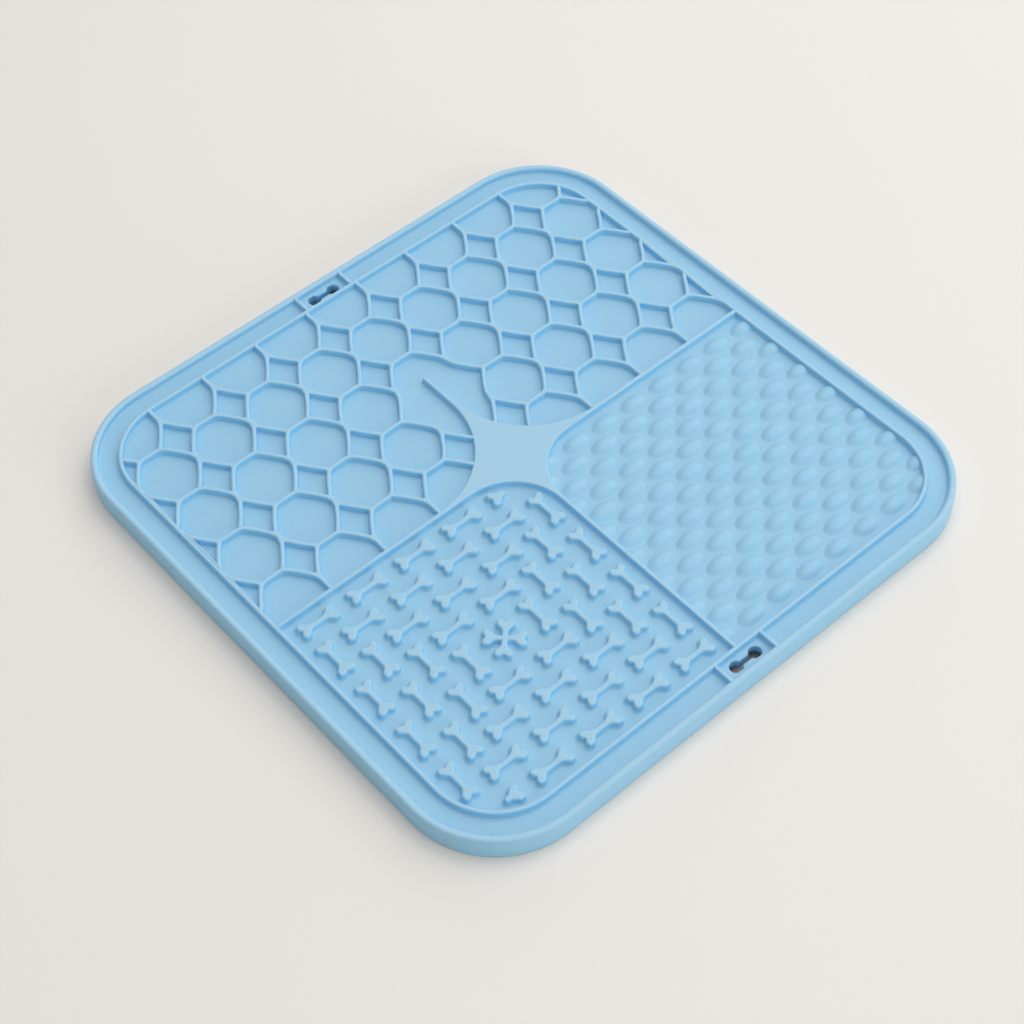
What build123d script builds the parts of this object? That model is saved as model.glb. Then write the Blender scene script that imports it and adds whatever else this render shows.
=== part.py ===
from build123d import *
import os

# Lick mat of silicone rubber, in millimetres. It lies flat with +Z up, and the origin is at the bottom centre.
# The honeycomb fills the rear half (+Y), the bones the front left quarter and the nubs the front right quarter.

# Overall sizes
mat_width = 200.0  # outside of the rim, both ways
corner_radius = 30.0  # outside corner of the rim
cup_height = 3.3  # room under the sheet, filled by the suction cups
sheet_thickness = 2.8
rib_height = 2.1  # rim, ribs and star above the sheet

# Rim, channel and border rib
rim_width = 2.2
rim_edge = 0.6  # bevel on the two top edges of the rim
channel_width = 6.1  # flat channel between the rim and the border rib
border_width = 1.4

# Star and dividers
divider_width = 1.4
rear_arc_radius = 30.0  # hollow sides of the star towards the honeycomb
front_arc_radius = 18.5  # hollow sides of the star towards the bones and the nubs
tail_length = 13.8  # rib that runs from the star into the honeycomb

# Honeycomb
cell_columns = 9
cell_rows = 3  # whole rows, with a cut row before and after them
cell_rib_width = 1.3
cell_flat = 7.5  # level edge at the top and bottom of a cell
cell_side = 2.3  # upright edge where two cells in a row touch
cell_bulge = 0.3  # how far the slanting edges bow out of the cell

# Bones
bone_length = 13.5
bone_shank = 2.2  # width between the knobs
bone_knob_width = 5.2
bone_knob_length = 3.7  # from the end of a bone to where its shank is narrow
bone_knob_flat = 1.5  # from the end of a bone to where its knobs start to narrow
bone_knob_bevel = 0.6
bone_notch = 1.0  # dent in the middle of an end, between its two knobs
bone_height = 2.0
bone_spacing = 17.6  # along a row or a column
bone_rings = 4  # rings of bones round the crossed pair
first_ring = 12.2  # from the middle of the zone to the first ring
ring_pitch = 9.05

# Nubs
nub_length = 9.4
nub_width = 5.3
nub_straight = 4.6  # level stretch of its long sides
nub_height = 1.2
nub_slope = 50  # degrees by which its sides lean in
nub_column_pitch = 11.8
nub_row_pitch = 6.12
least_nub_share = 0.15  # a nub with less than this share of its volume left by the edge of the zone is left out

# Hanging slots
slot_lobe_radius = 2.0
slot_lobe_spread = 7.4  # between the centres of the two round ends
slot_neck = 1.5
cross_rib_width = 1.4
cross_rib_spread = 17.6  # between the two cross ribs beside a slot

# Suction cups
cup_count = 3  # each way
cup_pitch = 62.0
cup_radius = 13.0
cup_lip_width = 0.9
cup_hollow_depth = 1.7
cup_slope = 48  # degrees by which the outside leans in
cup_hollow_slope = 65  # degrees by which the hollow leans in
cup_sides = 10

# Levels and places that follow from the sizes above
floor_level = cup_height + sheet_thickness
top_level = floor_level + rib_height
border_inset = rim_width + channel_width
field_inset = border_inset + border_width
field_half = mat_width / 2 - field_inset
border_centre = mat_width / 2 - border_inset - border_width / 2
zone_middle = border_centre / 2
cell_pitch = 2 * border_centre / cell_columns
half_divider = divider_width / 2
rear_arc_place = half_divider + rear_arc_radius
front_arc_place = half_divider + front_arc_radius
channel_middle = mat_width / 2 - rim_width - channel_width / 2
tab_depth = channel_width + border_width
tab_middle = field_half + tab_depth / 2
tab_length = cross_rib_spread + cross_rib_width


def inset_square(inset, mode=Mode.ADD):
    """Rounded square that runs at an even distance inside the outline of the mat."""
    side = mat_width - 2 * inset
    RectangleRounded(side, side, corner_radius - inset, mode=mode)


# Base sheet, with a notch at the rear and the front for the hang tabs
with BuildPart() as base_sheet:
    with BuildSketch(Plane.XY.offset(cup_height)):
        inset_square(rim_width)
        with GridLocations(0, 2 * tab_middle, 1, 2):
            Rectangle(tab_length, tab_depth, mode=Mode.SUBTRACT)
    extrude(amount=sheet_thickness)

# Rim: the wall round the edge, from the floor up to the lip
with BuildPart() as outer_rim:
    with BuildSketch():
        inset_square(0)
        inset_square(rim_width, Mode.SUBTRACT)
    extrude(amount=top_level)
    chamfer(outer_rim.faces().sort_by(Axis.Z)[-1].edges(), length=rim_edge)

# Border rib round the licking field
with BuildPart() as border_rib:
    with BuildSketch(Plane.XY.offset(floor_level)):
        inset_square(border_inset)
        inset_square(field_inset, Mode.SUBTRACT)
    extrude(amount=rib_height)

# Star in the middle: a bar across with two arcs hollowed out of each side, and a tail towards the rear
with BuildSketch() as star_front:
    Rectangle(2 * front_arc_place, front_arc_place, align=(Align.CENTER, Align.MAX))
    with Locations((-front_arc_place, -front_arc_place), (front_arc_place, -front_arc_place)):
        Circle(front_arc_radius, mode=Mode.SUBTRACT)

with BuildSketch() as star_outline:
    with Locations((0, -half_divider)):
        Rectangle(2 * rear_arc_place, rear_arc_radius + divider_width, align=(Align.CENTER, Align.MIN))
    with Locations((-rear_arc_place, rear_arc_place), (rear_arc_place, rear_arc_place)):
        Circle(rear_arc_radius, mode=Mode.SUBTRACT)
    with Locations((0, rear_arc_place)):
        Rectangle(divider_width, tail_length, align=(Align.CENTER, Align.MIN))
    add(star_front.sketch)

with BuildPart() as centre_star:
    with BuildSketch(Plane.XY.offset(floor_level)):
        add(star_outline.sketch)
    extrude(amount=rib_height)

# Dividers from the points of the star to the border rib
divider_reach = field_half - rear_arc_place
front_reach = field_half - front_arc_place


def side_divider(side):
    """Rib between the honeycomb and a front quarter, on the left (-1) or the right (+1)."""
    with BuildPart() as divider:
        with BuildSketch(Plane.XY.offset(floor_level)):
            with Locations((side * (rear_arc_place + divider_reach / 2), 0)):
                Rectangle(divider_reach, divider_width)
        extrude(amount=rib_height)
    return divider.part


left_divider = side_divider(-1)
right_divider = side_divider(1)

with BuildPart() as front_divider:
    with BuildSketch(Plane.XY.offset(floor_level)):
        with Locations((0, -front_arc_place)):
            Rectangle(divider_width, front_reach, align=(Align.CENTER, Align.MAX))
    extrude(amount=rib_height)

# Honeycomb: eight-sided cells in a square grid with diamonds between them. The pocket of each is drawn on the
# middle lines of its ribs, a quarter at a time, and then drawn in by half a rib.
half_pitch = cell_pitch / 2
half_flat = cell_flat / 2
half_side = cell_side / 2

with BuildSketch() as cell_pocket:
    with BuildLine():
        Line((0, half_pitch), (half_flat, half_pitch))
        SagittaArc((half_flat, half_pitch), (half_pitch, half_side), cell_bulge)
        Line((half_pitch, half_side), (half_pitch, 0))
        mirror(about=Plane.YZ)
        mirror(about=Plane.XZ)
    make_face()
    offset(amount=-cell_rib_width / 2, kind=Kind.INTERSECTION, mode=Mode.REPLACE)

with BuildSketch() as diamond_pocket:
    with BuildLine():
        SagittaArc((0, half_pitch - half_side), (half_pitch - half_flat, 0), -cell_bulge)
        mirror(about=Plane.YZ)
        mirror(about=Plane.XZ)
    make_face()
    offset(amount=-cell_rib_width / 2, kind=Kind.INTERSECTION, mode=Mode.REPLACE)

cell_opening = cell_pitch - cell_rib_width
cut_row_place = cell_pitch * (cell_rows + 1) / 2

with BuildPart() as honeycomb_field:
    with BuildSketch(Plane.XY.offset(floor_level)):
        inset_square(field_inset)
        with Locations((0, half_divider)):
            Rectangle(mat_width, mat_width, align=(Align.CENTER, Align.MIN), mode=Mode.INTERSECT)
        with Locations((0, zone_middle)):
            with GridLocations(cell_pitch, cell_pitch, cell_columns, cell_rows + 2):
                add(cell_pocket.sketch, mode=Mode.SUBTRACT)
            with GridLocations(cell_pitch, cell_pitch, cell_columns + 1, cell_rows + 1):
                add(diamond_pocket.sketch, mode=Mode.SUBTRACT)
            # The cut rows run straight on to the border rib and to the dividers
            with GridLocations(cell_pitch, 0, cell_columns, 1):
                with Locations((0, cut_row_place)):
                    Rectangle(cell_opening, cell_pitch, align=(Align.CENTER, Align.MIN), mode=Mode.SUBTRACT)
                with Locations((0, -cut_row_place)):
                    Rectangle(cell_opening, cell_pitch, align=(Align.CENTER, Align.MAX), mode=Mode.SUBTRACT)
            # The middle cell runs together with its neighbours round the tail of the star
            with Locations((0, -half_pitch)):
                Rectangle(cell_opening, cell_pitch, mode=Mode.SUBTRACT)
        add(star_outline.sketch, mode=Mode.SUBTRACT)
    extrude(amount=rib_height)

# The net is the largest solid: the crumbs of rib that the star cuts off along its arcs are left out
with BuildPart() as honeycomb_ribs:
    add(honeycomb_field.solids().sort_by(SortBy.VOLUME)[-1])


def front_zone(side):
    """Field in front of the dividers, left (-1) or right (+1), inside the border rib and outside the star."""
    with BuildSketch() as zone:
        inset_square(field_inset)
        with Locations((side * (half_divider + mat_width / 2), -half_divider)):
            Rectangle(mat_width, mat_width, align=(Align.CENTER, Align.MAX), mode=Mode.INTERSECT)
        add(star_outline.sketch, mode=Mode.SUBTRACT)
    return zone.sketch


# Flat outline of a bone along X, a quarter at a time: a shank with two knobs at each end
half_bone = bone_length / 2
half_shank = bone_shank / 2
half_knob = bone_knob_width / 2

with BuildSketch() as bone:
    with BuildLine():
        Polyline(
            (half_bone - bone_notch, 0),
            (half_bone, half_knob - bone_knob_bevel),
            (half_bone - bone_knob_bevel, half_knob),
            (half_bone - bone_knob_flat, half_knob),
            (half_bone - bone_knob_length, half_shank),
            (0, half_shank),
        )
        mirror(about=Plane.YZ)
        mirror(about=Plane.XZ)
    make_face()

# Bones in square rings round the middle of their zone. The first bone of the front row and the last bone of the
# rear row are half bones, because the border rib and the star go round there.
row_places = []
column_places = []
for ring in range(bone_rings):
    away = first_ring + ring * ring_pitch
    for step in range(ring + 2):
        along = (step - (ring + 1) / 2) * bone_spacing
        row_places += [(along, away), (along, -away)]
    for step in range(ring + 1):
        along = (step - ring / 2) * bone_spacing
        column_places += [(away, along), (-away, along)]

last_ring = first_ring + (bone_rings - 1) * ring_pitch
row_end = bone_rings / 2 * bone_spacing
cut_place = row_end + half_bone / 2

with BuildPart() as bone_studs:
    with BuildSketch(Plane.XY.offset(floor_level)):
        with Locations((-zone_middle, -zone_middle)):
            with Locations(*row_places):
                add(bone.sketch)
            with Locations(*column_places):
                add(bone.sketch, rotation=90)
            with Locations((-cut_place, -last_ring), (cut_place, last_ring)):
                Rectangle(half_bone, bone_knob_width, mode=Mode.SUBTRACT)
        add(front_zone(-1), mode=Mode.INTERSECT)
    extrude(amount=bone_height)

# Crossed pair of bones in the middle of the rings
with BuildPart() as crossed_bones:
    with BuildSketch(Plane.XY.offset(floor_level)):
        with Locations((-zone_middle, -zone_middle)):
            add(bone.sketch, rotation=45)
            add(bone.sketch, rotation=-45)
    extrude(amount=bone_height)


# Nubs in staggered rows over their whole zone, cut by the dividers, the star and the border rib
with BuildPart() as nub:
    with BuildSketch(Plane.XY.offset(floor_level)):
        with BuildLine():
            Polyline((nub_length / 2, 0), (nub_straight / 2, nub_width / 2), (0, nub_width / 2))
            mirror(about=Plane.YZ)
            mirror(about=Plane.XZ)
        make_face()
    extrude(amount=nub_height, taper=nub_slope)

nub_rows = int((field_half - half_divider) / nub_row_pitch)
nub_columns = int((field_half + nub_length / 2) / nub_column_pitch) + 1
nub_places = []
for row in range(nub_rows):
    stagger = (row % 2) * nub_column_pitch / 2
    for column in range(nub_columns):
        across = stagger + column * nub_column_pitch
        nub_places.append((across, -zone_middle + (row - (nub_rows - 1) / 2) * nub_row_pitch))

with BuildPart() as nub_field:
    with Locations(*nub_places):
        add(nub.part)
    with BuildSketch(Plane.XY.offset(floor_level)):
        add(front_zone(1))
    extrude(amount=nub_height, mode=Mode.INTERSECT)

least_nub = least_nub_share * nub.part.volume
with BuildPart() as oval_nubs:
    add(nub_field.solids().filter_by(lambda solid: solid.volume > least_nub))


def hang_tab(side):
    """Channel floor round a hanging slot, at the front (-1) or the rear (+1), with a cross rib at each end."""
    with BuildPart() as tab:
        with BuildSketch(Plane.XY.offset(cup_height)):
            with Locations((0, side * tab_middle)):
                Rectangle(tab_length, tab_depth)
            with Locations((0, side * channel_middle)):
                Rectangle(slot_lobe_spread, slot_neck, mode=Mode.SUBTRACT)
                with GridLocations(slot_lobe_spread, 0, 2, 1):
                    Circle(slot_lobe_radius, mode=Mode.SUBTRACT)
        extrude(amount=sheet_thickness)
        with BuildSketch(Plane.XY.offset(floor_level)):
            with Locations((0, side * channel_middle)):
                with GridLocations(cross_rib_spread, 0, 2, 1):
                    Rectangle(cross_rib_width, channel_width)
        extrude(amount=rib_height)
    return tab.part


rear_hang_tab = hang_tab(1)
front_hang_tab = hang_tab(-1)

# Suction cups under the sheet: a flared foot with a hollow, level with the bottom of the rim
with BuildPart() as cup:
    with BuildSketch():
        RegularPolygon(radius=cup_radius, side_count=cup_sides)
    extrude(amount=cup_height, taper=cup_slope)
    with BuildSketch():
        RegularPolygon(radius=cup_radius - cup_lip_width, side_count=cup_sides)
    extrude(amount=cup_hollow_depth, taper=cup_hollow_slope, mode=Mode.SUBTRACT)

with BuildPart() as suction_cups:
    with GridLocations(cup_pitch, cup_pitch, cup_count, cup_count):
        add(cup.part)

pieces = {
    "base_sheet": base_sheet.part,
    "outer_rim": outer_rim.part,
    "border_rib": border_rib.part,
    "centre_star": centre_star.part,
    "left_divider": left_divider,
    "right_divider": right_divider,
    "front_divider": front_divider.part,
    "honeycomb_ribs": honeycomb_ribs.part,
    "bone_studs": bone_studs.part,
    "crossed_bones": crossed_bones.part,
    "oval_nubs": oval_nubs.part,
    "rear_hang_tab": rear_hang_tab,
    "front_hang_tab": front_hang_tab,
    "suction_cups": suction_cups.part,
}

os.makedirs("parts", exist_ok=True)
for name, piece in pieces.items():
    piece.label = name
    export_step(piece, f"parts/{name}.step")
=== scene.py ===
import math

import bmesh
import bpy
from mathutils import Matrix, Vector


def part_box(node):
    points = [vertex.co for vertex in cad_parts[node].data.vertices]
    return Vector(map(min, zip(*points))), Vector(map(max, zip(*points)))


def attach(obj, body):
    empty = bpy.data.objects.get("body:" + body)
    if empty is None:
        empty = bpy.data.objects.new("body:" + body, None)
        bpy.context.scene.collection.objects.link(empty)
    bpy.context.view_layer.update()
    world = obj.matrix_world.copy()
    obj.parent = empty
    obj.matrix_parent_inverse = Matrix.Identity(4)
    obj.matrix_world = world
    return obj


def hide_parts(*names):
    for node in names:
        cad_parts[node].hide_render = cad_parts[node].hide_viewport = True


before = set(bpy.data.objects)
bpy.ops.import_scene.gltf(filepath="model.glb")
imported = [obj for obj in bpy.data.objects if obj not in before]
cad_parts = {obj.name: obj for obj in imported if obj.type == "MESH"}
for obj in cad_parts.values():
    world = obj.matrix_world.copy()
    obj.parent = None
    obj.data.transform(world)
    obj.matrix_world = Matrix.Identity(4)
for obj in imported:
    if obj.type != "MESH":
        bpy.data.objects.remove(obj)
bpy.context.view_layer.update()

# Base sheet: the flat web of silicone rubber that carries every rib, stud and cup of the mat.
# The whole mat is pressed in one shot in a two-part mould, and the hanging tabs fill the two notches
# of this sheet.

sheet_low, sheet_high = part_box("base_sheet")
rim_low, rim_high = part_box("outer_rim")
rear_tab_low, rear_tab_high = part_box("rear_hang_tab")

floor_level = sheet_high.z
top_level = rim_high.z
mat_half = rim_high.x
corner_radius = 0.030
corner_centre = mat_half - corner_radius
corner_steps = 20
sheet_lap = 0.0003  # how far the sheet runs into the rim, so that no slit shows between the two
seam = 0.00002  # points nearer than this are one, and hidden faces stay this far inside the sheet


def linear(hex_colour):
    """Linear RGBA of an sRGB hex colour."""
    channels = [int(hex_colour[start:start + 2], 16) / 255 for start in (1, 3, 5)]
    return [c / 12.92 if c <= 0.04045 else ((c + 0.055) / 1.055) ** 2.4 for c in channels] + [1.0]


def add_node(tree, kind, inputs=None, **settings):
    """Adds a node with its settings. Each input gets a value, or a link where it is given a socket."""
    node = tree.nodes.new(kind)
    for name, value in settings.items():
        setattr(node, name, value)
    for name, value in (inputs or {}).items():
        if isinstance(value, bpy.types.NodeSocket):
            tree.links.new(value, node.inputs[name])
        else:
            node.inputs[name].default_value = value
    return node


# Moulded silicone rubber, pigmented light blue: a soft satin with broad weak highlights, and a faint glow
# where light goes through thin edges. It has the fine grit of a blasted steel mould. The raised crests are
# painted paler, a painted sheen. Steep walls are painted a clearer blue, most of all inside the rim: a
# painted glow for light that went in at the top and comes out again, and for light that goes from wall to
# wall.
silicone_blue = "#93C3DF"
silicone_cloud = "#99C8E1"
# painted sheen: the colour of the raised crests, paler to stand in for the light they catch
silicone_crest_painted_sheen = "#A0C9E0"
# Painted glow: steep walls are painted a clearer, lighter blue than the floor, for light that goes through
# the rubber
silicone_wall_painted_glow = "#99CDE9"
# painted bounce light: the stronger painted glow on walls inside the rim
silicone_recess_painted_glow = "#8BCBEF"  # walls inside the rim, where light goes from wall to wall
# levels between which the painted glow on steep walls fades in
wall_levelness = 0.2  # how level a surface is, from 0 to 1, where it counts as a steep wall
flat_levelness = 0.9  # and where it counts as flat
cloud_size = 0.024
cloud_detail = 3.0
grit_size = 0.0006  # real grit is near 0.1 mm, drawn coarser so that it shows
grit_detail = 2.0
grit_depth = 0.000012
satin_low = 0.42
satin_high = 0.56
silicone_ior = 1.41
glow_share = 0.25
glow_depth = 0.0008
glow_spread = (0.4, 0.8, 1.0)  # how far red, green and blue light go, as shares of that depth
colour_a, colour_b, mixed = 6, 7, 2  # places of a Mix node's colour sockets: two inputs and the result

silicone = bpy.data.materials.new("moulded_silicone_rubber")
silicone.use_nodes = True
tree = silicone.node_tree
shader = tree.nodes["Principled BSDF"]
coordinates = add_node(tree, "ShaderNodeTexCoord")
place = coordinates.outputs["Object"]
clouds = add_node(tree, "ShaderNodeTexNoise", {
    "Vector": place, "Scale": 1 / cloud_size, "Detail": cloud_detail,
})
grit = add_node(tree, "ShaderNodeTexNoise", {
    "Vector": place, "Scale": 1 / grit_size, "Detail": grit_detail,
})
height = add_node(tree, "ShaderNodeSeparateXYZ", {"Vector": place}).outputs["Z"]
# Painted sheen: from half the relief's height up to the top, the colour turns to the paler painted crest
# colour
crest_sheen = add_node(tree, "ShaderNodeMapRange", {
    "Value": height, "From Min": (floor_level + top_level) / 2, "From Max": top_level,
}, interpolation_type="SMOOTHSTEP")
body_colour = add_node(tree, "ShaderNodeMix", {
    "Factor": clouds.outputs["Fac"],
    colour_a: linear(silicone_blue), colour_b: linear(silicone_cloud),
}, data_type="RGBA")
colour_with_sheen = add_node(tree, "ShaderNodeMix", {
    "Factor": crest_sheen.outputs["Result"],
    colour_a: body_colour.outputs[mixed], colour_b: linear(silicone_crest_painted_sheen),
}, data_type="RGBA")
upright = add_node(tree, "ShaderNodeSeparateXYZ", {"Vector": coordinates.outputs["Normal"]}).outputs["Z"]
levelness = add_node(tree, "ShaderNodeMath", {0: upright}, operation="ABSOLUTE")
# Painted glow mask: 1 on steep walls, 0 on flat faces
painted_glow_mask = add_node(tree, "ShaderNodeMapRange", {
    "Value": levelness.outputs["Value"], "From Min": wall_levelness, "From Max": flat_levelness,
    "To Min": 1.0, "To Max": 0.0,
})

# The distance from the square between the corners' centres tells the inside of the rim from its outside;
# inside it the painted glow on the walls is stronger
folded = add_node(tree, "ShaderNodeVectorMath", {0: place}, operation="ABSOLUTE")
beyond = add_node(tree, "ShaderNodeVectorMath", {
    0: folded.outputs["Vector"], 1: (corner_centre, corner_centre, mat_half),
}, operation="SUBTRACT")
corner = add_node(tree, "ShaderNodeVectorMath", {0: beyond.outputs["Vector"]}, operation="MAXIMUM")
outward = add_node(tree, "ShaderNodeVectorMath", {0: corner.outputs["Vector"]}, operation="LENGTH")
inside_rim_glow = add_node(tree, "ShaderNodeMath", {
    0: outward.outputs["Value"], 1: sheet_high.x - corner_centre,
}, operation="LESS_THAN")
painted_glow_colour = add_node(tree, "ShaderNodeMix", {
    "Factor": inside_rim_glow.outputs["Value"],
    colour_a: linear(silicone_wall_painted_glow), colour_b: linear(silicone_recess_painted_glow),
}, data_type="RGBA")
colour = add_node(tree, "ShaderNodeMix", {
    "Factor": painted_glow_mask.outputs["Result"],
    colour_a: colour_with_sheen.outputs[mixed], colour_b: painted_glow_colour.outputs[mixed],
}, data_type="RGBA")
satin = add_node(tree, "ShaderNodeMapRange", {
    "Value": grit.outputs["Fac"], "To Min": satin_low, "To Max": satin_high,
})
bump = add_node(tree, "ShaderNodeBump", {
    "Height": grit.outputs["Fac"], "Strength": 1.0, "Distance": grit_depth,
})
tree.links.new(colour.outputs[mixed], shader.inputs["Base Color"])
tree.links.new(satin.outputs["Result"], shader.inputs["Roughness"])
tree.links.new(bump.outputs["Normal"], shader.inputs["Normal"])
shader.inputs["IOR"].default_value = silicone_ior
shader.inputs["Subsurface Weight"].default_value = glow_share
shader.inputs["Subsurface Radius"].default_value = glow_spread
shader.inputs["Subsurface Scale"].default_value = glow_depth

smooth_angle = math.radians(50)  # edges that turn by less look round


def cast(form, name):
    """Turns a finished mesh form into an object of moulded silicone at the origin."""
    bmesh.ops.recalc_face_normals(form, faces=form.faces)
    mesh = bpy.data.meshes.new(name)
    form.to_mesh(mesh)
    form.free()
    mesh.shade_smooth()
    mesh.set_sharp_from_angle(angle=smooth_angle)
    mesh.materials.append(silicone)
    piece = bpy.data.objects.new(name, mesh)
    bpy.context.scene.collection.objects.link(piece)
    return piece


def rounded_square(form, half_side, level):
    """Draws the mat's outline as one flat face, drawn in to half_side, with its round corners."""
    square = bmesh.ops.create_grid(
        form, x_segments=1, y_segments=1, size=half_side, matrix=Matrix.Translation((0, 0, level))
    )
    bmesh.ops.bevel(
        form, geom=square["verts"], offset=half_side - corner_centre, affect="VERTICES",
        segments=corner_steps, profile=0.5, material=-1,
    )


def cut(form, point, direction, drop=True):
    """Cuts a form along a plane and, unless drop is off, drops what lies beyond it."""
    bmesh.ops.bisect_plane(
        form, geom=[*form.verts, *form.edges, *form.faces], dist=seam, plane_co=point, plane_no=direction,
        clear_outer=drop,
    )


def lift(form, faces, move):
    """Pulls flat faces up into a slab, with the faces they started from as its bottom."""
    grown = bmesh.ops.extrude_face_region(form, geom=faces, use_keep_orig=True)["geom"]
    verts = [part for part in grown if isinstance(part, bmesh.types.BMVert)]
    bmesh.ops.translate(form, vec=move, verts=verts)
    return [part for part in grown if isinstance(part, bmesh.types.BMFace)]


sheet = bmesh.new()
rounded_square(sheet, sheet_high.x + sheet_lap, sheet_low.z)
for edge in (rear_tab_low.x, rear_tab_high.x):
    cut(sheet, (edge, 0, 0), (1, 0, 0), drop=False)
for edge in (rear_tab_low.y, -rear_tab_low.y):
    cut(sheet, (0, edge, 0), (0, 1, 0), drop=False)
notches = []
for face in sheet.faces:
    middle = face.calc_center_median()
    if abs(middle.x) < rear_tab_high.x and abs(middle.y) > rear_tab_low.y:
        notches.append(face)
bmesh.ops.delete(sheet, geom=notches, context="FACES")
lift(sheet, sheet.faces[:], (0, 0, floor_level - sheet_low.z))
base_sheet = cast(sheet, "mat_sheet")
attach(base_sheet, "root")
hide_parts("base_sheet")

# Rim: the wall of silicone rubber round the edge of the mat, which keeps the food on it.
# It stands from the table to the lip, and its rounded edges are cut into both halves of the mould.

rim_width = 0.0022
rim_lip = 0.0009
rim_bottom = 0.0005
rim_foot = 0.0008
rim_tongue = 0.0012  # how far its foot runs into the sheet
rim_rounding = 5  # steps in each rounding of its section

rim = bmesh.new()
section = [
    rim.verts.new((mat_half - inward, -corner_centre, level))
    for inward, level in (
        (0, rim_low.z), (rim_width, rim_low.z),
        (rim_width, sheet_low.z + seam), (rim_width + rim_tongue, sheet_low.z + seam),
        (rim_width + rim_tongue, floor_level - seam), (rim_width, floor_level - seam),
        (rim_width, top_level), (0, top_level),
    )
]
rim.faces.new(section)
for corners, radius in (((0, 1), rim_bottom), ((2, 5), rim_foot), ((6, 7), rim_lip)):
    bmesh.ops.bevel(
        rim, geom=[section[corner] for corner in corners], offset=radius, affect="VERTICES",
        segments=rim_rounding, profile=0.5, material=-1,
    )
bmesh.ops.delete(rim, geom=rim.faces[:], context="FACES_ONLY")
ring = rim.edges[:]
for turn in range(4):
    quarter = Matrix.Rotation(turn * math.pi / 2, 3, "Z")
    run = bmesh.ops.extrude_edge_only(rim, edges=ring)["geom"]
    run_end = [part for part in run if not isinstance(part, bmesh.types.BMFace)]
    bmesh.ops.translate(
        rim, vec=quarter @ Vector((0, 2 * corner_centre, 0)),
        verts=[part for part in run_end if isinstance(part, bmesh.types.BMVert)],
    )
    bend = bmesh.ops.spin(
        rim, geom=run_end, cent=quarter @ Vector((corner_centre, corner_centre, 0)), axis=(0, 0, 1),
        angle=math.pi / 2, steps=corner_steps,
    )
    ring = [part for part in bend["geom_last"] if isinstance(part, bmesh.types.BMEdge)]
bmesh.ops.remove_doubles(rim, verts=rim.verts, dist=seam)
outer_rim = cast(rim, "mat_rim")
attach(outer_rim, "root")
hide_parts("outer_rim")

# Border rib: the thin rib of silicone rubber round the licking field, inside the channel.
# It is one groove of the mould, with a rounded crest and a small fillet at its feet.

border_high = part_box("border_rib")[1]
border_width = 0.0014
border_middle = border_high.x - border_width / 2
rib_height = top_level - floor_level
rib_foot = 0.00045
rib_crown = 0.0005
rib_lean = 0.0001
rib_rounding = 3  # steps in each rounding
rib_depth = 0.0002  # how far a form's bottom lies under the top of the sheet
rib_flat = 0.00006  # narrow flat inside a rounded edge, which keeps the light even on the flat crest


def rib_steps(rise, foot, lean, crown, crown_rise, flat=rib_flat):
    """Steps inwards and upwards from a form's outline to its crest.

    They make the fillet at its foot, the leaning wall, the rounded edge and a narrow flat.
    """
    turns = [math.pi / 2 * step / rib_rounding for step in range(1, rib_rounding + 1)]
    path = [(0, 0)]
    path += [(foot * math.sin(turn), foot * (1 - math.cos(turn))) for turn in turns]
    path += [(foot + lean, rise - crown_rise)]
    path += [
        (foot + lean + crown * (1 - math.cos(turn)), rise - crown_rise * (1 - math.sin(turn)))
        for turn in turns
    ]
    path += [(foot + lean + crown + flat, rise)]
    return [(after[0] - before[0], after[1] - before[1]) for before, after in zip(path, path[1:])]


def raise_form(form, faces, steps):
    """Builds a closed form up from flat faces that lie just under the top of the sheet."""
    faces = lift(form, faces, (0, 0, rib_depth - seam))
    for inward, upward in steps:
        bmesh.ops.inset_region(form, faces=faces, thickness=inward, use_boundary=True, use_even_offset=True)
        verts = {vert for face in faces for vert in face.verts}
        bmesh.ops.translate(form, vec=(0, 0, upward), verts=list(verts))


border = bmesh.new()
rounded_square(border, border_high.x + rib_foot + rib_lean / 2, floor_level - rib_depth)
field = border.faces[:]
inner = bmesh.ops.inset_region(
    border, faces=field, thickness=border_width + 2 * rib_foot + rib_lean,
    use_boundary=True, use_even_offset=True,
)
bmesh.ops.delete(border, geom=field, context="FACES")
raise_form(border, inner["faces"], rib_steps(rib_height + seam, rib_foot, rib_lean, rib_crown, rib_crown))
border_rib = cast(border, "border_rib_form")
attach(border_rib, "root")
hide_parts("border_rib")

# Star and dividers: the flat silicone rubber star in the middle, with the ribs that part the three zones.
# They are one recess of the mould: a cross of grooves whose four inner corners sweep out into arcs.

divider_half = 0.0007
rear_arc = 0.030
front_arc = 0.0185
tail_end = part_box("centre_star")[1].y
arc_steps = 24
tail_round = 0.9  # radius of the tail's two corners, as a share of half its width
tail_steps = 5
star_edge = 0.0004
star_foot = 0.00045
star_grow = star_foot + rib_lean / 2  # how far the outline at the foot lies outside that at half height

star = bmesh.new()
arm = divider_half + star_grow
reach = border_middle + star_grow
outline = [
    star.verts.new((across, along, floor_level - rib_depth))
    for across, along in (
        (arm, arm), (arm, tail_end + star_grow), (-arm, tail_end + star_grow),
        (-arm, arm), (-reach, arm), (-reach, -arm),
        (-arm, -arm), (-arm, -reach), (arm, -reach),
        (arm, -arm), (reach, -arm), (reach, arm),
    )
]
star.faces.new(outline)
for corners, radius, steps in (
    ((0, 3), rear_arc - star_grow, arc_steps),
    ((6, 9), front_arc - star_grow, arc_steps),
    ((1, 2), tail_round * arm, tail_steps),
):
    bmesh.ops.bevel(
        star, geom=[outline[corner] for corner in corners], offset=radius, affect="VERTICES",
        segments=steps, profile=0.5, material=-1,
    )
raise_form(star, star.faces[:], rib_steps(rib_height, star_foot, rib_lean, star_edge, star_edge))
star_form = cast(star, "star_and_dividers")
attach(star_form, "root")
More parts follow.
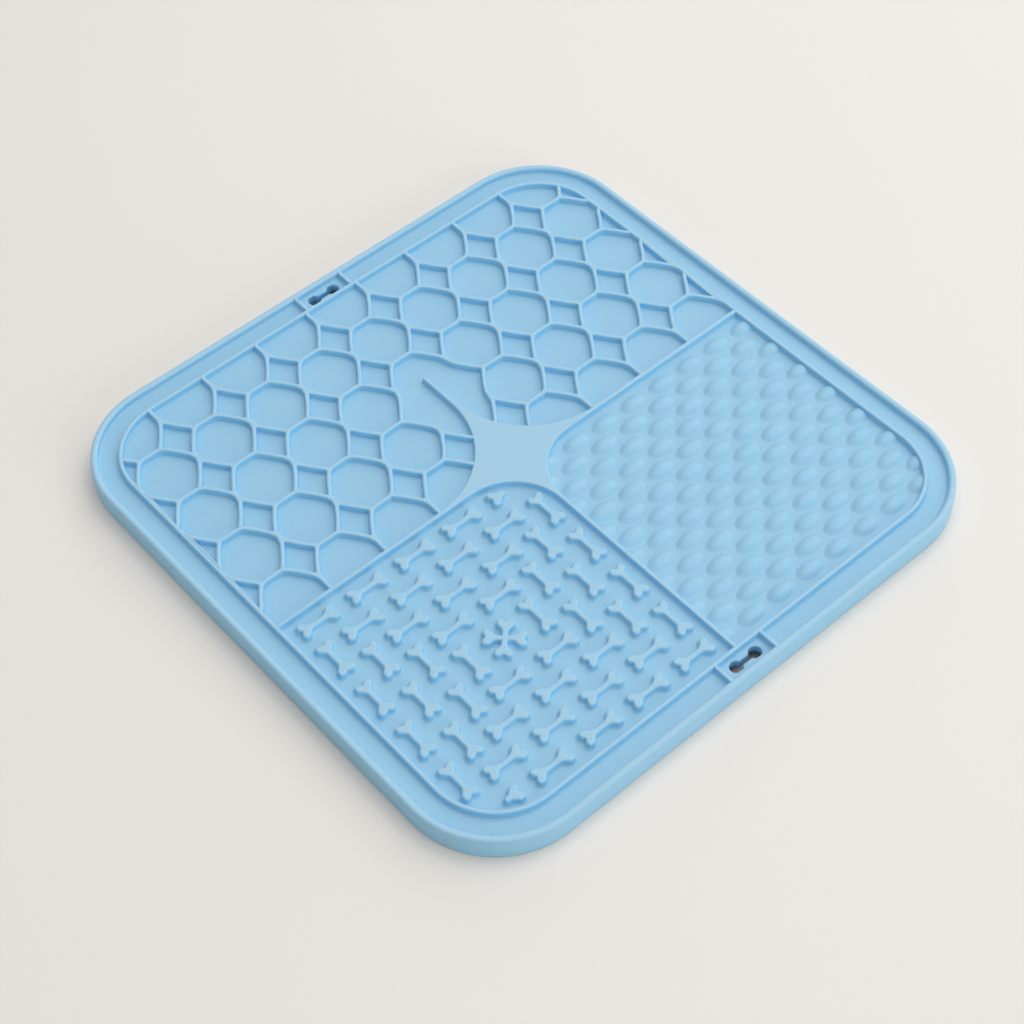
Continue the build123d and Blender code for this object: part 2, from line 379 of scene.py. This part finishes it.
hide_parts("centre_star", "left_divider", "right_divider", "front_divider")

# Honeycomb: the net of thin silicone rubber ribs over the rear half, with eight-sided cells and diamonds.
# The pockets are pads left standing in the mould, so their corners are soft and the crests between them
# are rounded.

cell_columns = 9
cell_pitch = 2 * border_middle / cell_columns
cell_rows = 5  # of which the first and the last are cut by the dividers and the border rib
cell_flat = 0.0075
cell_side = 0.0023
cell_bow = 0.28  # profile of the slanting ribs, which bow in towards the diamonds
cell_bow_steps = 4
corner_angle = math.radians(25)  # where a pocket's outline turns by more, it has a corner
corner_cuts = 4  # straight cuts that follow the border rib round a corner of the field
zone_middle = border_middle / 2
merge_reach = 0.6 * cell_pitch  # pockets that run together lie no further from the middle line
tail_pockets = (zone_middle - 1.2 * cell_pitch, zone_middle + 0.2 * cell_pitch)  # their places along it
foot_pockets = (-cell_pitch, zone_middle - 1.3 * cell_pitch)
least_pocket = 0.0014  # inner radius under which a cut pocket is left closed
net_flat = 0.00018
net_crown = 0.00048
net_foot = 0.00022
short_edge = 0.0006  # shorter bits of outline, left by the cuts, are closed up
net_drop = 0.00004  # crests lie this much under those of the border rib and the star
unit_half = 0.5  # half the width of a shape one metre wide, which a matrix brings to its size

net = bmesh.new()
flat_cut = (cell_pitch - cell_flat) / 2
side_cut = (cell_pitch - cell_side) / 2
squeeze = flat_cut / side_cut
bmesh.ops.create_grid(
    net, x_segments=cell_columns + 2, y_segments=cell_rows, size=unit_half,
    matrix=Matrix.Diagonal(((cell_columns + 2) * cell_pitch, cell_rows * cell_pitch * squeeze, 1, 1)),
)
crossings = [vert for vert in net.verts if not vert.is_boundary]
diamonds = bmesh.ops.bevel(
    net, geom=crossings, offset=flat_cut, affect="VERTICES",
    segments=cell_bow_steps, profile=cell_bow, material=-1,
)
bmesh.ops.dissolve_faces(net, faces=diamonds["faces"])
bmesh.ops.scale(net, vec=(1, 1 / squeeze, 1), verts=net.verts)
bmesh.ops.translate(net, vec=(0, zone_middle, top_level - net_drop), verts=net.verts)


def pockets_near(form, low, high):
    """Pockets on the middle line whose centres lie between two distances from the middle of the mat."""
    found = []
    for face in form.faces:
        middle = face.calc_center_median()
        if abs(middle.x) < merge_reach and low < middle.y < high:
            found.append(face)
    return found


# The middle cells run together with the diamonds beside them, round the tail and the foot of the star
for low, high in (tail_pockets, foot_pockets):
    bmesh.ops.dissolve_faces(net, faces=pockets_near(net, low, high))

# The diamonds' narrow corners, at the ends of the short ribs, have room for only one step of rounding
junctions = [
    vert for vert in net.verts if not vert.is_boundary
    and (len(vert.link_edges) == 3 or vert.calc_edge_angle(0) > corner_angle)
]
narrow = [
    vert for vert in junctions
    if any(abs(edge.verts[0].co.x - edge.verts[1].co.x) < seam for edge in vert.link_edges)
]
wide = [vert for vert in junctions if vert not in narrow]
for corners, steps in ((narrow, 1), (wide, 2)):
    bmesh.ops.bevel(
        net, geom=corners, offset=cell_side / 2, affect="VERTICES", segments=steps, profile=0.5, material=-1
    )
bmesh.ops.remove_doubles(net, verts=net.verts, dist=seam)
for point, direction in (
    ((border_middle, 0, 0), (1, 0, 0)), ((-border_middle, 0, 0), (-1, 0, 0)),
    ((0, border_middle, 0), (0, 1, 0)), ((0, 0, 0), (0, -1, 0)),
):
    cut(net, point, direction)


def cut_corner(form, side_x, side_y):
    """Cuts a form along the middle of the border rib where that goes round a corner of the field."""
    for step in range(corner_cuts):
        turn = math.pi / 2 / corner_cuts * (step + 0.5)
        away = Vector((side_x * math.cos(turn), side_y * math.sin(turn), 0))
        corner = Vector((side_x * corner_centre, side_y * corner_centre, 0))
        cut(form, corner + away * (border_middle - corner_centre), away)


cut_corner(net, 1, 1)
cut_corner(net, -1, 1)
bmesh.ops.remove_doubles(net, verts=net.verts, dist=short_edge)

pockets = [
    face for face in net.faces if 2 * face.calc_area() / face.calc_perimeter() > least_pocket
]
net_steps = rib_steps(rib_height - net_drop + seam, net_foot, rib_lean, net_crown, net_crown, net_flat)
for inward, upward in reversed(net_steps):
    bmesh.ops.inset_individual(net, faces=pockets, thickness=inward, depth=-upward, use_even_offset=True)
hem = [edge for edge in net.edges if edge.is_boundary]
skirt = bmesh.ops.extrude_edge_only(net, edges=hem)["geom"]
bmesh.ops.translate(
    net, vec=(0, 0, net_drop - rib_height - rib_depth),
    verts=[part for part in skirt if isinstance(part, bmesh.types.BMVert)],
)
bmesh.ops.edgeloop_fill(
    net, edges=[part for part in skirt if isinstance(part, bmesh.types.BMEdge) and part.is_boundary]
)
honeycomb = cast(net, "honeycomb_net")
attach(honeycomb, "root")
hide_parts("honeycomb_ribs")

# Bone studs: small raised bones of silicone rubber in square rings over the front left quarter.
# Each is a pocket milled in the mould with a round-nosed cutter, so its knobs and its shank are
# rounded over.

bone_length = 0.0145  # this and the next six are sizes of a bone's outline at its foot
bone_shank = 0.0036
bone_knob_width = 0.0071
bone_knob_length = 0.00498  # from the end of a bone to where its shank is narrow
bone_knob_flat = 0.00323  # from the end of a bone to where its knobs start to narrow
bone_notch = 0.0006
bone_notch_half = 0.0009  # half the width of the notch where it opens
bone_spacing = 0.0176
bone_rings = 4
first_ring = 0.0122
ring_pitch = 0.00905
bone_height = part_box("bone_studs")[1].z - floor_level
bone_foot = 0.0008
bone_lean = 0.00006
bone_crown = 0.0006
bone_crown_rise = 0.0009
bone_rounds = (0.0005, 0.0017, 0.00072, 0.0004)  # reach at the notch, a knob's tip, its back and the shank
bone_round_steps = 3
half_bone_round = 0.88  # radius of the corners where a bone is halved, as a share of half the shank
bone_saddle = 0.90  # height of the middle of the shank, as a share of the knobs' height


def bone_form(arms):
    """Draws flat arms with a knob round the origin, half an arm first, and raises them.

    One arm is half a bone with a round end, two are a bone along X and four are two bones that cross.
    """
    form = bmesh.new()
    end = bone_length / 2
    knob_start = end - bone_knob_length
    flank = end - (bone_knob_length + bone_knob_flat) / 2
    half_shank = bone_shank / 2
    half_knob = bone_knob_width / 2
    corners = [
        form.verts.new((along, across, floor_level - rib_depth))
        for along, across in (
            (0, 0), (end - bone_notch, 0), (end, bone_notch_half), (end, half_knob),
            (end - bone_knob_flat, half_knob), (knob_start, half_shank),
            (half_shank if arms == 4 else 0, half_shank),
        )
    ]
    form.faces.new(corners)
    rounds = [*zip(corners[2:6], bone_rounds)]
    if arms == 1:
        rounds.append((corners[6], half_bone_round * half_shank))
    for corner, radius in rounds:
        bmesh.ops.bevel(
            form, geom=[corner], offset=radius, affect="VERTICES",
            segments=bone_round_steps, profile=0.5, material=-1,
        )
    bmesh.ops.mirror(form, geom=[*form.verts, *form.edges, *form.faces], axis="Y", merge_dist=seam)
    cut(form, (flank, 0, 0), (1, 0, 0), drop=False)
    if arms > 1:
        bmesh.ops.spin(
            form, geom=[*form.verts, *form.edges, *form.faces], cent=(0, 0, 0), axis=(0, 0, 1),
            angle=2 * math.pi * (arms - 1) / arms, steps=arms - 1, use_duplicate=True,
        )
        bmesh.ops.remove_doubles(form, verts=form.verts, dist=seam)
    form.normal_update()
    bmesh.ops.reverse_faces(form, faces=[face for face in form.faces if face.normal.z < 0])
    bone_steps = rib_steps(bone_height + seam, bone_foot, bone_lean, bone_crown, bone_crown_rise)
    raise_form(form, form.faces[:], bone_steps)
    waist = [
        vert for vert in form.verts
        if vert.co.xy.length < knob_start / 2 and vert.co.z > floor_level
    ]
    bmesh.ops.scale(
        form, vec=(1, 1, bone_saddle), space=Matrix.Translation((0, 0, -floor_level)), verts=waist
    )
    return form


def set_copies(form, shape, places):
    """Sets copies of one small form at places given as across, along and turn, into a larger form."""
    mesh = bpy.data.meshes.new("stud")
    shape.to_mesh(mesh)
    for across, along, turn in places:
        known = len(form.verts)
        form.from_mesh(mesh)
        form.verts.ensure_lookup_table()
        bmesh.ops.transform(
            form, matrix=Matrix.Translation((across, along, 0)) @ Matrix.Rotation(turn, 4, "Z"),
            verts=form.verts[known:],
        )
    bpy.data.meshes.remove(mesh)
    shape.free()


# The last ring's front row starts and its rear row ends with half a bone, where border and star go round
bone_places = []
half_places = []
for ring in range(bone_rings):
    away = first_ring + ring * ring_pitch
    for side in (-1, 1):
        row = [
            ((step - (ring + 1) / 2) * bone_spacing - zone_middle, side * away - zone_middle, 0)
            for step in range(ring + 2)
        ]
        if ring == bone_rings - 1:
            halved, half_turn = (0, 0) if side < 0 else (-1, math.pi)
            half_places.append((*row.pop(halved)[:2], half_turn))
        bone_places += row
        bone_places += [
            (side * away - zone_middle, (step - ring / 2) * bone_spacing - zone_middle, math.pi / 2)
            for step in range(ring + 1)
        ]

bones = bmesh.new()
set_copies(bones, bone_form(2), bone_places)
set_copies(bones, bone_form(1), half_places)
bone_studs = cast(bones, "raised_bones")
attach(bone_studs, "root")
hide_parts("bone_studs")

# Crossed bones: two of the same bones of silicone rubber that cross in the middle of the rings.
# They are cut into the mould one over the other to one depth, so they stand at one height.

crossed = bmesh.new()
set_copies(crossed, bone_form(4), [(-zone_middle, -zone_middle, math.pi / 4)])
crossed_bones = cast(crossed, "crossed_bone_pair")
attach(crossed_bones, "root")
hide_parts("crossed_bones")

# Nubs: oval domes of silicone rubber in staggered rows over the front right quarter.
# Each is a dimple sunk in the mould with a ball cutter, and those at the edge run into the ribs.

nub_length = 0.0103
nub_width = 0.0058
nub_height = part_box("oval_nubs")[1].z - floor_level
nub_column_pitch = 0.0118
nub_row_pitch = 0.00612
nub_rows = 14
nub_columns = 9
nub_sides = 14
nub_into_star = nub_length / 3  # nubs whose middles lie further under the star are left out
nub_into_border = nub_length / 4  # and so are those further beyond the middle of the border rib
front_arc_centre = Vector((front_arc + divider_half, -front_arc - divider_half))

# Size and height of each ring of a nub's dome, as shares of its foot and of its whole height
nub_rings = ((0.93, 0.06), (0.83, 0.26), (0.70, 0.55), (0.52, 0.82), (0.30, 0.96), (0.12, 1.0))

nub = bmesh.new()
nub_foot = Matrix.Translation((0, 0, floor_level - rib_depth))
bmesh.ops.create_circle(
    nub, cap_ends=True, segments=nub_sides, radius=unit_half,
    matrix=nub_foot @ Matrix.Diagonal((nub_length, nub_width, 1, 1)),
)
crown = lift(nub, nub.faces[:], (0, 0, rib_depth - seam))
share_before = 1
level = floor_level - seam
for share, rise in nub_rings:
    bmesh.ops.inset_region(nub, faces=crown, thickness=seam, use_boundary=True, use_even_offset=True)
    tip = crown[0].verts[:]
    bmesh.ops.scale(nub, vec=(share / share_before, share / share_before, 1), verts=tip)
    bmesh.ops.translate(nub, vec=(0, 0, floor_level + rise * nub_height - level), verts=tip)
    share_before = share
    level = floor_level + rise * nub_height

nub_places = []
for row in range(nub_rows):
    along = (row - (nub_rows - 1) / 2) * nub_row_pitch - zone_middle
    for column in range(nub_columns):
        across = (column + row % 2 / 2) * nub_column_pitch
        into_arc = Vector((across, along)) - front_arc_centre
        under_star = into_arc.x < 0 < into_arc.y and into_arc.length > front_arc + nub_into_star
        if across < border_middle + nub_into_border and not under_star:
            nub_places.append((across, along, 0))

nubs = bmesh.new()
set_copies(nubs, nub, nub_places)
cut(nubs, (0, 0, 0), (-1, 0, 0))
cut(nubs, (border_middle, 0, 0), (1, 0, 0))
cut_corner(nubs, 1, -1)
bmesh.ops.holes_fill(nubs, edges=[edge for edge in nubs.edges if edge.is_boundary])
oval_nubs = cast(nubs, "oval_nub_field")
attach(oval_nubs, "root")
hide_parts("oval_nubs")

# Hanging tabs: the bit of silicone rubber floor at the rear and the front of the channel, with a
# bone-shaped slot through it. A pin of the mould that closes against the other half leaves the slot,
# and a rib crosses the channel at each end of it.

channel_middle = (mat_half - rim_width + border_high.x) / 2
slot_lobe = 0.0020
slot_half_spread = 0.0037
slot_half_neck = 0.00075
slot_edge = 0.0004
slot_edge_steps = 3
slot_steps = 12
slot_margin = 1.1 * slot_lobe  # the slot's edges lie no further from the middles of its round ends
sharp_angle = math.radians(60)  # edges that turn by more are edges of the slot or of the tab
cross_rib_width = 0.0014
cross_rib_place = 0.0088
tab_reach = 0.012  # half the length that is drawn across the channel, before it is cut to the notch


def hang_tab(name, side):
    """Makes the tab at the rear (1) or, turned round, at the front (-1)."""
    tab = bmesh.new()
    neck_end = slot_half_spread - math.sqrt(slot_lobe ** 2 - slot_half_neck ** 2)
    start = tab.verts.new((neck_end, slot_half_neck, sheet_low.z))
    lobe = bmesh.ops.spin(
        tab, geom=[start], cent=(slot_half_spread, 0, sheet_low.z), axis=(0, 0, 1), steps=slot_steps,
        angle=math.asin(slot_half_neck / slot_lobe) - math.pi,
    )
    (lobe_end,) = [part for part in lobe["geom_last"] if isinstance(part, bmesh.types.BMVert)]
    corners = [
        tab.verts.new((across, along, sheet_low.z))
        for across, along in (
            (rear_tab_high.x, 0), (rear_tab_high.x, tab_reach), (0, tab_reach), (0, slot_half_neck),
        )
    ]
    for one, other in zip([lobe_end, *corners], [*corners, start]):
        tab.edges.new((one, other))
    bmesh.ops.edgeloop_fill(tab, edges=tab.edges[:])
    for axis in ("X", "Y"):
        bmesh.ops.mirror(tab, geom=[*tab.verts, *tab.edges, *tab.faces], axis=axis, merge_dist=seam)
    bmesh.ops.translate(tab, vec=(0, channel_middle, 0), verts=tab.verts)
    cut(tab, (0, rear_tab_low.y, 0), (0, -1, 0))
    cut(tab, (0, rear_tab_high.y + sheet_lap, 0), (0, 1, 0))
    bmesh.ops.recalc_face_normals(tab, faces=tab.faces)
    lift(tab, tab.faces[:], (0, 0, floor_level - sheet_low.z))
    bmesh.ops.recalc_face_normals(tab, faces=tab.faces)
    slot_rims = []
    for edge in tab.edges:
        one, other = edge.verts
        from_slot = one.co.xy - Vector((0, channel_middle))
        near_slot = from_slot.length < slot_half_spread + slot_margin and abs(from_slot.y) < slot_margin
        runs_level = abs(one.co.z - other.co.z) < seam
        if near_slot and runs_level and edge.calc_face_angle(0) > sharp_angle:
            slot_rims.append(edge)
    bmesh.ops.bevel(
        tab, geom=slot_rims, offset=slot_edge, affect="EDGES",
        segments=slot_edge_steps, profile=0.5, material=-1,
    )
    rib_size = Matrix.Diagonal((
        cross_rib_width + 2 * rib_foot + rib_lean,
        rear_tab_high.y - border_high.y + rim_width + border_width, 1, 1,
    ))
    for across in (-cross_rib_place, cross_rib_place):
        rib_foot_place = Matrix.Translation((across, channel_middle, floor_level - rib_depth))
        rib = bmesh.ops.create_grid(
            tab, x_segments=1, y_segments=1, size=unit_half, matrix=rib_foot_place @ rib_size
        )
        raise_form(
            tab, list({face for vert in rib["verts"] for face in vert.link_faces}),
            rib_steps(rib_height - net_drop, rib_foot, rib_lean, rib_crown, rib_crown),
        )
    if side < 0:
        bmesh.ops.rotate(tab, cent=(0, 0, 0), matrix=Matrix.Rotation(math.pi, 3, "Z"), verts=tab.verts)
    return cast(tab, name)


for name, node, side in (("rear_tab", "rear_hang_tab", 1), ("front_tab", "front_hang_tab", -1)):
    tab_piece = hang_tab(name, side)
    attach(tab_piece, "root")
    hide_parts(node)

# Suction cups: shallow silicone rubber cups under the sheet, which hold the mat to a tile or a floor.
# They are moulded in one with the sheet, and their lips lie level with the bottom of the rim.

cup_pitch = 0.062
cup_radius = 0.0130
cup_neck = 0.0099
cup_lip = 0.0009
cup_hollow = 0.0017
cup_hollow_outer = 0.62  # depth of the hollow under the edge of the neck, as a share of its whole depth
cup_hollow_inner = 0.94  # and half way in from there
cup_steps = 40
cup_profile = (
    (0, sheet_low.z + rib_depth), (cup_neck, sheet_low.z + rib_depth), (cup_neck, sheet_low.z - seam),
    (cup_radius - cup_lip, cup_lip), (cup_radius, cup_lip / 2), (cup_radius, 0),
    (cup_radius - cup_lip, 0), (cup_neck, cup_hollow * cup_hollow_outer),
    (cup_neck / 2, cup_hollow * cup_hollow_inner), (0, cup_hollow),
)

cup = bmesh.new()
profile = [cup.verts.new((across, 0, level)) for across, level in cup_profile]
for one, other in zip(profile, profile[1:]):
    cup.edges.new((one, other))
bmesh.ops.spin(
    cup, geom=[*cup.verts, *cup.edges], cent=(0, 0, 0), axis=(0, 0, 1), angle=2 * math.pi, steps=cup_steps,
    use_merge=True,
)
bmesh.ops.remove_doubles(cup, verts=cup.verts, dist=seam)
cups = bmesh.new()
set_copies(cups, cup, [
    (column * cup_pitch, row * cup_pitch, 0) for column in (-1, 0, 1) for row in (-1, 0, 1)
])
suction_cups = cast(cups, "suction_cup_set")
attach(suction_cups, "root")
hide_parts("suction_cups")

# Table, light and camera: a pale table top of matt laminate that the mat lies on, and plain soft light
# from four softboxes: above, on the right, in front, and behind on the right. The camera stands at the
# photo's viewing angle.

# Matt white laminate: an even, warm off-white with a mottle that is barely seen and no clear reflections
table_colour = "#E4DFD9"
table_mottle = "#E7E3DD"
table_size = 3.0
table_cloud = 0.25
table_cloud_detail = 2.0
table_roughness = 0.6

table_material = bpy.data.materials.new("matt_white_laminate")
table_material.use_nodes = True
tree = table_material.node_tree
shader = tree.nodes["Principled BSDF"]
place = add_node(tree, "ShaderNodeTexCoord").outputs["Object"]
clouds = add_node(tree, "ShaderNodeTexNoise", {
    "Vector": place, "Scale": 1 / table_cloud, "Detail": table_cloud_detail,
})
colour = add_node(tree, "ShaderNodeMix", {
    "Factor": clouds.outputs["Fac"],
    colour_a: linear(table_colour), colour_b: linear(table_mottle),
}, data_type="RGBA")
tree.links.new(colour.outputs[mixed], shader.inputs["Base Color"])
shader.inputs["Roughness"].default_value = table_roughness

table_form = bmesh.new()
bmesh.ops.create_grid(table_form, x_segments=1, y_segments=1, size=table_size)
table_mesh = bpy.data.meshes.new("table_top")
table_form.to_mesh(table_mesh)
table_form.free()
table_mesh.materials.append(table_material)
table = bpy.data.objects.new("table_top", table_mesh)
bpy.context.scene.collection.objects.link(table)

sky_colour = "#FFFFFF"
sky_light = 0.365
lamp_colour = "#FFFFFF"
lamps = (  # name, place, side and power of each softbox
    ("top_softbox", (0.0, 0.0, 1.87), 1.6, 12.6),
    ("right_softbox", (1.20, 0.0, 1.43), 1.6, 13.9),
    ("front_softbox", (0.28, -1.79, 0.56), 1.2, 11.0),
    ("rear_softbox", (1.32, 1.19, 0.58), 0.9, 4.5),
)

world = bpy.data.worlds.new("studio")
bpy.context.scene.world = world
world.use_nodes = True
world.node_tree.nodes["Background"].inputs["Color"].default_value = linear(sky_colour)
world.node_tree.nodes["Background"].inputs["Strength"].default_value = sky_light

for name, lamp_place, lamp_size, lamp_power in lamps:
    lamp = bpy.data.lights.new(name, "AREA")
    lamp.energy = lamp_power
    lamp.color = linear(lamp_colour)[:3]
    lamp.size = lamp_size
    light = bpy.data.objects.new(name, lamp)
    aim = Vector(lamp_place).to_track_quat("Z", "Y").to_matrix().to_4x4()
    light.matrix_world = Matrix.Translation(lamp_place) @ aim
    bpy.context.scene.collection.objects.link(light)

camera_place = (-0.252505, -0.298909, 0.479742)
camera_turn = math.radians(-39.8064)
look_down = 51.7809  # in degrees
camera_tilt = math.radians(90 - look_down)
camera_roll = math.radians(-1.8753)
photo_width = 1024
focal_length = 2057.80  # in pixels of the photo
sensor_width = 36.0
near_limit = 0.01

camera_data = bpy.data.cameras.new("photo_view")
camera_data.sensor_width = sensor_width
camera_data.lens = focal_length / photo_width * sensor_width
camera_data.clip_start = near_limit
camera = bpy.data.objects.new("photo_view", camera_data)
camera.matrix_world = (
    Matrix.Translation(camera_place) @ Matrix.Rotation(camera_turn, 4, "Z")
    @ Matrix.Rotation(camera_tilt, 4, "X") @ Matrix.Rotation(camera_roll, 4, "Z")
)
bpy.context.scene.collection.objects.link(camera)
bpy.context.scene.camera = camera
bpy.context.scene.view_settings.view_transform = "Standard"
